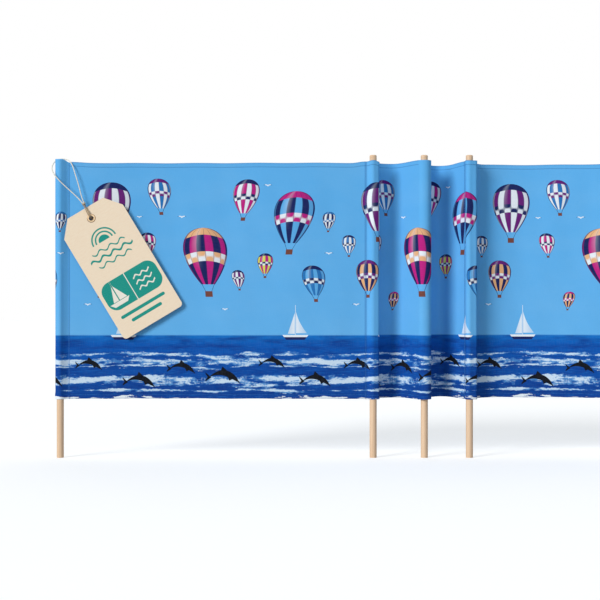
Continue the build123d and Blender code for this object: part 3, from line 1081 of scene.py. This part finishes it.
def grow(name, lines, tree, values):
    """Runs a tree on lines through given points, and keeps the result as a plain mesh."""
    points = []
    edges = []
    for line in lines:
        first = len(points)
        points += [tuple(point) for point in line]
        edges += [(index, index + 1) for index in range(first, len(points) - 1)]
    guide = bpy.data.meshes.new(name)
    guide.from_pydata(points, edges, [])
    piece = bring_in(name, guide)
    modifier = piece.modifiers.new(tree.name, "NODES")
    modifier.node_group = tree
    for socket in tree.interface.items_tree:
        if socket.in_out == "INPUT" and socket.name in values:
            modifier[socket.identifier] = values[socket.name]
    return settle(piece)


def sew(name, rows):
    """Stitches along rows of points on the cloth."""
    sizes = {"Pitch": stitch_pitch, "Length": stitch_length, "Radius": thread_radius, "Finish": thread}
    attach(grow(name, rows, sewing, sizes), "root")


thread, thread_shader = new_finish("cotton_thread", 0.7, 0.25)
place = object_place(thread)
feed(thread_shader, "Base Color", blend(cloudy(place, 900.0), dye(46, 104, 172), dye(84, 148, 208)))
raise_grain(thread_shader, cloudy(place, 2600.0), 0.0002)

sewing, sewn = open_tree("sewing", ["Pitch", "Length", "Radius"])
seam = step(sewing, "GeometryNodeMeshToCurve", {"Mesh": sewn["Shape"]})
seam = step(sewing, "GeometryNodeResampleCurve", {"Curve": seam[0], "Length": sewn["Pitch"]}, mode="LENGTH")
tangent = step(sewing, "GeometryNodeInputTangent", {})
facing = step(sewing, "FunctionNodeAlignRotationToVector", {"Vector": tangent[0]}, axis="Z")
bead = step(sewing, "GeometryNodeMeshUVSphere", {"Segments": 6, "Rings": 5, "Radius": 1.0})
half_length = step(sewing, "ShaderNodeMath", {0: sewn["Length"], 1: 0.5}, operation="MULTIPLY")
bead_size = step(sewing, "ShaderNodeCombineXYZ", {0: sewn["Radius"], 1: sewn["Radius"], 2: half_length[0]})
stitches = step(sewing, "GeometryNodeInstanceOnPoints",
                {"Points": seam[0], "Instance": bead[0], "Rotation": facing[0], "Scale": bead_size[0]})
close_tree(sewing, stitches[0], sewn["Finish"])

for number in bay_lines:
    sew(f"hem_stitches_{number}", seam_rows[f"bay_{number}"])
for number in fold_sleeves:
    sew(f"sleeve_stitches_{number}", seam_rows[f"sleeve_{number}"])

for number, angle in ((1, 0), (2, 180), (4, fold_4_angle), (5, 180)):
    sizes = fold_sleeves.get(number, end_sleeve)
    closed = number not in fold_sleeves
    top = bay_high if closed else sleeve_high - sizes["droop"][0]
    heights = np.linspace(sleeve_low + seam_foot_gap, top - seam_top_gap, seam_steps)
    edge_gap = heights - sleeve_low if closed else np.minimum(heights - sleeve_low, top - heights)
    proud = cloth_thickness + thread_gap + hem_bulge(edge_gap)
    sideways = left_of(towards(angle))
    rows = []
    for distance in seam_row_places:
        middle = from_post(number, sizes["seam"] + distance, angle)
        for side in (-1, 1):
            rows.append([(*(middle + sideways * (side * out)), height)
                         for out, height in zip(proud, heights)])
    sew(f"seam_stitches_{number}", rows)


# Carrying strap and ties, sewn to the back of the last bay: black woven tape for the strap,
# and two pairs of thin black ribbon that tie round the windbreak when it is rolled up.
tape_pitch = 0.004
strap_thickness = 0.0015
sewn_end = 0.030
stitch_margin = 0.003
stitch_box = 0.024
tie_width = 0.012
tie_thickness = 0.001
tie_spread = 0.008
tie_sway = 0.006
tab_length = 0.020
tape, tape_shader = new_finish("black_tape", 0.66, 0.35, 0.25)
across, deep, height = axes(object_place(tape))
zigzag = abs(wave(height, 0.018)) * 0.0012
rib = wave(across + zigzag, 0.0018)
weft = wave(height, 0.0011)
dust = cloudy(spot(across * 90, deep * 90, height * 30), 1.0, 3.0)
tape_colour = blend(within(rib * 0.5 + 0.5), dye(16, 16, 19), dye(40, 40, 45))
feed(tape_shader, "Base Color", stain(tape_colour, dust * 2 - 0.9, 0.5, dye(56, 56, 62)))
raise_grain(tape_shader, rib * 0.35 + weft * 0.3 + 0.5, 0.0004)


def ribbon(name, route, width, thickness, twist=0.0, sway=0.0):
    """A flat tape whose back lies along a route of (across, behind, up), with softly rounded edges."""
    route = np.array(route)
    length = run_of(route)[-1]
    middle, heading = spots_at(np.linspace(0, length, max(12, int(length / tape_pitch))), route)
    section = []
    for angle in np.linspace(0, 2 * pi, 17)[:-1]:
        square = max(abs(cos(angle)), abs(sin(angle)))
        section.append((width / 2 * cos(angle) / square ** 0.75, thickness / 2 * sin(angle) / square ** 0.5))
    rings = []
    for index, (centre, ahead) in enumerate(zip(middle, heading)):
        share = index / (len(middle) - 1)
        turn = twist * share * share
        ahead = Vector(ahead)
        side = Vector((cos(turn), sin(turn), 0))
        side = (side - ahead * side.dot(ahead)).normalized()
        out = ahead.cross(side)
        centre = Vector(centre) + Vector((sway * sin(share * 5) * share, 0, 0))
        rings.append([centre + side * x + out * y for x, y in section])
    return piece_from(name, shape_of_rings(rings), tape)


def join(name, parts):
    """Several parts of tape as one piece."""
    shape = bmesh.new()
    for part in parts:
        shape.from_mesh(part.data)
        bpy.data.objects.remove(part)
    return piece_from(name, shape, tape)


strap_low, strap_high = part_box("carry_strap")
strap_middle = (strap_low.x + strap_high.x) / 2
strap_width = strap_high.x - strap_low.x
strap_height = strap_high.z - strap_low.z
strap_bow = strap_high.y - strap_thickness
strap_sides = [(0, 0), (sewn_end, 0), (sewn_end + strap_height / 4, strap_bow),
               (strap_height * 3 / 4 - sewn_end, strap_bow), (strap_height - sewn_end, 0), (strap_height, 0)]
strap_line = soft_route([(strap_high.z - down, behind) for down, behind in strap_sides])
strap_route = [(strap_middle, point.y + strap_thickness / 2 + thread_gap, point.x) for point in strap_line]
strap = ribbon("carry_strap_tape", strap_route, strap_width, strap_thickness)
take_place(strap, "webbing", "carry_strap")

left = strap_low.x + stitch_margin
right = strap_high.x - stitch_margin
box_rows = []
for foot in (strap_low.z + stitch_margin, strap_high.z - stitch_margin - stitch_box):
    top = foot + stitch_box
    for row in ([(left, foot), (right, foot), (right, top), (left, top), (left, foot), (right, top)],
                [(right, foot), (left, top)]):
        box_rows.append([(x, strap_thickness + thread_radius, z) for x, z in row])
sew("strap_stitches", box_rows)

for name in ("tie_lower", "tie_upper"):
    low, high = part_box(name)
    middle = (low.x + high.x) / 2
    tab_route = [(middle, tie_thickness / 2, high.z), (middle, tie_thickness / 2, high.z - tab_length)]
    parts = [ribbon(f"{name}_tab", tab_route, high.x - low.x, tie_thickness)]
    for side, lean, twist in ((-1, 0.010, 0.9), (1, 0.016, -0.7)):
        line = soft_route([(high.z - 0.001, 0.0018), (high.z - 0.030, 0.003), (high.z - 0.080, 0.004 + lean),
                           (high.z - 0.160, 0.006), (low.z, 0.008 + lean / 2)])
        tail_route = [(middle + side * tie_spread, point.y, point.x) for point in line]
        parts.append(ribbon(f"{name}_tail", tail_route, tie_width, tie_thickness, twist, side * tie_sway))
    tie = join(f"{name}_ribbon", parts)
    take_place(tie, "webbing", name)


# Hang tag. Thick unbleached card with clipped upper corners and a rolled brass eyelet, printed in one
# green ink with a plain seaside device: a low sun over waves, a small sail in a panel, and two bars.
tag_top = (0.086, -0.0156, 1.035)
tag_tilt = 31.0
tag_turn = 1.3
sun_middle = (0.0, -0.125)
eyelet_drop = 0.039
green_ink = dye(14, 150, 136)


def tag_place(material):
    """How far a spot on the tag is across from its middle line, and up from its top."""
    feeds = {"Vector": object_place(material), "Location": tag_top,
             "Rotation": (radians(90), radians(-tag_tilt), radians(tag_turn))}
    return axes(on_surface("ShaderNodeMapping", feeds, vector_type="TEXTURE"))[:2]


def disc(x, y, centre, radius):
    """How far inside a circle a spot is."""
    away_x = x - centre[0]
    away_y = y - centre[1]
    return radius - reckon("SQRT", away_x * away_x + away_y * away_y)


def plate(x, y, centre, half, corner):
    """How far inside a plate with round corners a spot is."""
    out_x = greater(abs(x - centre[0]) - (half[0] - corner), 0.0)
    out_y = greater(abs(y - centre[1]) - (half[1] - corner), 0.0)
    return corner - reckon("SQRT", out_x * out_x + out_y * out_y)


def wave_line(x, y, centre, half_width, thickness, length=0.040, swing=0.0055):
    """How far inside a printed wave a spot is."""
    swung = wave(x - centre[0], length) * swing
    return lesser(thickness / 2 - abs(y - centre[1] - swung), half_width - abs(x - centre[0]))


card, card_shader = new_finish("unbleached_card", 0.82, 0.2)
x, y = tag_place(card)
pulp = cloudy(spot(x * 60, y * 200, 0.0), 1.0, 4.0, 0.6)
fleck = cloudy(spot(x, y, 0.0), 420.0, 3.0)
card_colour = stain(dye(249, 226, 197), pulp * 2 - 0.6, 0.5, dye(255, 240, 217))
card_colour = stain(card_colour, fleck * 5 - 3.0, 0.28, dye(212, 182, 146))

sun = disc(x, y, sun_middle, 0.020)
for radius in (0.030, 0.042):
    sun = greater(sun, 0.0026 - abs(disc(x, y, sun_middle, radius)))
ink = edge(lesser(sun, y - sun_middle[1]))
for height, half_width, thickness in ((-0.150, 0.062, 0.0050), (-0.172, 0.080, 0.0072),
                                      (-0.196, 0.062, 0.0050)):
    ink = greater(ink, edge(wave_line(x, y, (0.0, height), half_width, thickness)))
panel = edge(plate(x, y, (0.001, -0.301), (0.103, 0.050), 0.034))
holes = edge(0.0014 - abs(x + 0.004))
taper = 1.0 - within((y + 0.335) / 0.066)
sails = edge(lesser(lesser(x + 0.058, taper * 0.034 - x - 0.058), y + 0.322))
sails = greater(sails, edge(lesser(lesser(-0.062 - x, taper * 0.024 + x + 0.062), y + 0.322)))
hull = edge(lesser(0.007 - abs(y + 0.331), 0.030 + (y + 0.331) * 0.9 - abs(x + 0.060)))
holes = greater(greater(holes, sails), hull)
for height in (-0.280, -0.301, -0.322):
    holes = greater(holes, edge(wave_line(x, y, (0.048, height), 0.032, 0.0052, 0.026, 0.004)))
ink = greater(ink, panel * (1.0 - holes))
for height, half_width in ((-0.377, 0.084), (-0.402, 0.058)):
    ink = greater(ink, edge(plate(x, y, (-0.002, height), (half_width, 0.0055), 0.0055)))
rub = within(fleck * 1.6 + 0.1)
inked = blend(ink * (0.9 + rub * 0.1), card_colour, green_ink)
feed(card_shader, "Base Color", blend(holes * panel * 0.85, inked, dye(246, 240, 228)))
raise_grain(card_shader, pulp * 0.6 + fleck * 0.4, 0.0003, 0.6)
tag_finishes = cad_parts["hang_tag"].data.materials
tag_finishes.clear()
tag_finishes.append(card)

brass, brass_shader = new_finish("eyelet_metal", 0.34, 0.5)
brass_shader.inputs["Metallic"].default_value = 0.55
scuff = cloudy(object_place(brass), 700.0, 3.0)
x, y = tag_place(brass)
from_middle = -disc(x, y, (0.0, -eyelet_drop), 0.0)
# Darker towards the rim's outer edge and round its hole.
darker_rim_edges = greater(within((from_middle - 0.0122) * 900), within((0.0090 - from_middle) * 900))
brass_colour = blend(within(scuff * 2 - 0.6), dye(232, 208, 172), dye(204, 170, 128))
feed(brass_shader, "Base Color", blend(darker_rim_edges * 0.9, brass_colour, dye(112, 76, 44)))
raise_grain(brass_shader, scuff, 0.00012)

rim_outline = [(7.0, -2.1), (7.0, 0.8), (7.3, 1.1), (8.1, 1.2), (10.0, 1.12), (12.6, 0.85), (14.1, 0.50),
               (14.5, 0.32), (14.3, 0.2), (8.2, 0.2), (8.2, -1.4), (14.3, -1.4), (14.5, -1.52), (14.1, -1.70),
               (12.6, -2.05), (10.0, -2.32), (8.1, -2.4), (7.3, -2.3)]
rim_outline = [(radius / 1000, height / 1000) for radius, height in rim_outline]
rim_place = (Matrix.Translation(tag_top) @ Matrix.Rotation(radians(tag_turn), 4, "Z")
             @ Matrix.Rotation(radians(-tag_tilt), 4, "Y") @ Matrix.Rotation(radians(90), 4, "X")
             @ Matrix.Translation((0, -eyelet_drop, 0)))
rim = turn_on_lathe("rolled_rim", rim_outline, 48, rim_place, brass, closed=True)
take_place(rim, "eyelet", "tag_eyelet")


# Twine. Three plies of pale jute, laid up tight: from behind the eyelet to a knot, over the top of the
# end sleeve and back again. Below the knot it is painted a shaded brown, which stands for its shadow.
twine_diameter = 0.0032
lay_length = 0.014
knot_middle = Vector((0.0820, -0.0208, 1.0495))
knot_axis = Vector((-0.50, 0.0, 0.87)).normalized()
knot_side = Vector((0, 1, 0))
knot_depth = 0.0064
knot_width = 0.0046
knot_rise = 0.0034
knot_turns = 2
points_a_turn = 12
twine_route = [
    (0.1064, -0.0046, 0.9974), (0.1034, -0.0096, 1.0020), (0.1014, -0.0204, 1.0059),
    (0.0968, -0.0240, 1.0134), (0.0890, -0.0246, 1.0298), (0.0800, -0.0240, 1.0493),
    (0.0610, -0.0220, 1.0710), (0.0330, -0.0208, 1.0960), (0.0050, -0.0215, 1.1220),
    (-0.0170, -0.0195, 1.1460), (-0.0280, -0.0080, 1.1680), (-0.0245, 0.0055, 1.1880),
    (-0.0110, 0.0136, 1.2006), (0.0070, 0.0152, 1.2031), (0.0220, 0.0102, 1.1999),
    (0.0340, -0.0005, 1.1929), (0.0435, -0.0100, 1.1760), (0.0520, -0.0145, 1.1500),
    (0.0615, -0.0160, 1.1210), (0.0690, -0.0165, 1.0920), (0.0750, -0.0170, 1.0695),
    (0.0832, -0.0176, 1.0505), (0.0927, -0.0192, 1.0314), (0.1006, -0.0234, 1.0154),
    (0.1051, -0.0211, 1.0083), (0.1067, -0.0096, 1.0042), (0.1101, -0.0046, 0.9995),
]


def smooth_cord_path(name, points):
    """Points along the smooth curve that a cord's route pulls on."""
    curve = bpy.data.curves.new(name, "CURVE")
    curve.dimensions = "3D"
    curve.resolution_u = 16
    spline = curve.splines.new("NURBS")
    spline.points.add(len(points) - 1)
    for point, place in zip(spline.points, points):
        point.co = (*place, 1.0)
    spline.order_u = 3
    spline.use_endpoint_u = True
    holder = bring_in(name, curve)
    path = [vertex.co.copy() for vertex in made_mesh(holder).vertices]
    bpy.data.objects.remove(holder)
    return path


jute, jute_shader = new_finish("jute", 0.85, 0.2)
place = object_place(jute)
jute_fibre = cloudy(place, 1500.0, 3.0, 0.6)
# Painted shade: the twine below the knot is blended to a shadowed brown.
shade_below_knot = within((knot_middle.z + 0.003 - axes(place)[2]) * 250)
pale_jute = blend(within(jute_fibre * 2 - 0.5), dye(240, 228, 204), dye(255, 252, 244))
shaded_jute = blend(within(jute_fibre * 2 - 0.5), dye(142, 104, 62), dye(206, 176, 130))
feed(jute_shader, "Base Color", blend(shade_below_knot * 0.8, pale_jute, shaded_jute))
raise_grain(jute_shader, jute_fibre, 0.0004)

laying, laid = open_tree("laying_up", ["Step", "Ply Radius", "Ply Offset", "Turns"])
core = step(laying, "GeometryNodeMeshToCurve", {"Mesh": laid["Shape"]})
core = step(laying, "GeometryNodeResampleCurve", {"Curve": core[0], "Length": laid["Step"]}, mode="LENGTH")
run = step(laying, "GeometryNodeSplineParameter", {})
tilt = step(laying, "ShaderNodeMath", {0: run["Length"], 1: laid["Turns"]}, operation="MULTIPLY")
core = step(laying, "GeometryNodeSetCurveTilt", {"Curve": core[0], "Tilt": tilt[0]})
ply_round = step(laying, "GeometryNodeCurvePrimitiveCircle", {"Resolution": 7, "Radius": laid["Ply Radius"]})
ply_shift = step(laying, "ShaderNodeCombineXYZ", {0: laid["Ply Offset"]})
ply_one = step(laying, "GeometryNodeTransform", {"Geometry": ply_round[0], "Translation": ply_shift[0]})
plies = laying.nodes.new("GeometryNodeJoinGeometry")
for index in range(3):
    turned = (0, 0, index * 2 * pi / 3)
    ply = step(laying, "GeometryNodeTransform", {"Geometry": ply_one[0], "Rotation": turned})
    laying.links.new(ply[0], plies.inputs[0])
yarn = step(laying, "GeometryNodeCurveToMesh",
            {"Curve": core[0], "Profile Curve": plies.outputs[0], "Fill Caps": True})
close_tree(laying, yarn[0], laid["Finish"])
ply_sizes = {"Step": 0.0012, "Ply Radius": twine_diameter * 0.33, "Ply Offset": twine_diameter * 0.27,
             "Turns": 2 * pi / lay_length, "Finish": jute}

twine_path = smooth_cord_path("twine_path", twine_route)
twine = grow("tag_twine_loop", [twine_path], laying, ply_sizes)
take_place(twine, "twine", "tag_twine")

knot_across = knot_axis.cross(knot_side)
knot_points = []
for index in range(knot_turns * points_a_turn + 1):
    turn = radians(index * 360 / points_a_turn)
    climb = index / points_a_turn - knot_turns / 2
    knot_points.append(knot_middle + knot_side * (knot_depth * cos(turn))
                       + knot_across * (knot_width * sin(turn)) + knot_axis * (knot_rise * climb))
knot = grow("twine_knot", [smooth_cord_path("knot_path", knot_points)], laying, ply_sizes)
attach(knot, "root")


# Bays. Each one is a single cloth with its hems and their stitches on it, hung between two posts
# and cut long enough to be folded over twice at both edges. The loop below only goes through them and does
# nothing more.
for number, (sheet, *hems) in bays.items():
    f"dowel_{number + 1}"
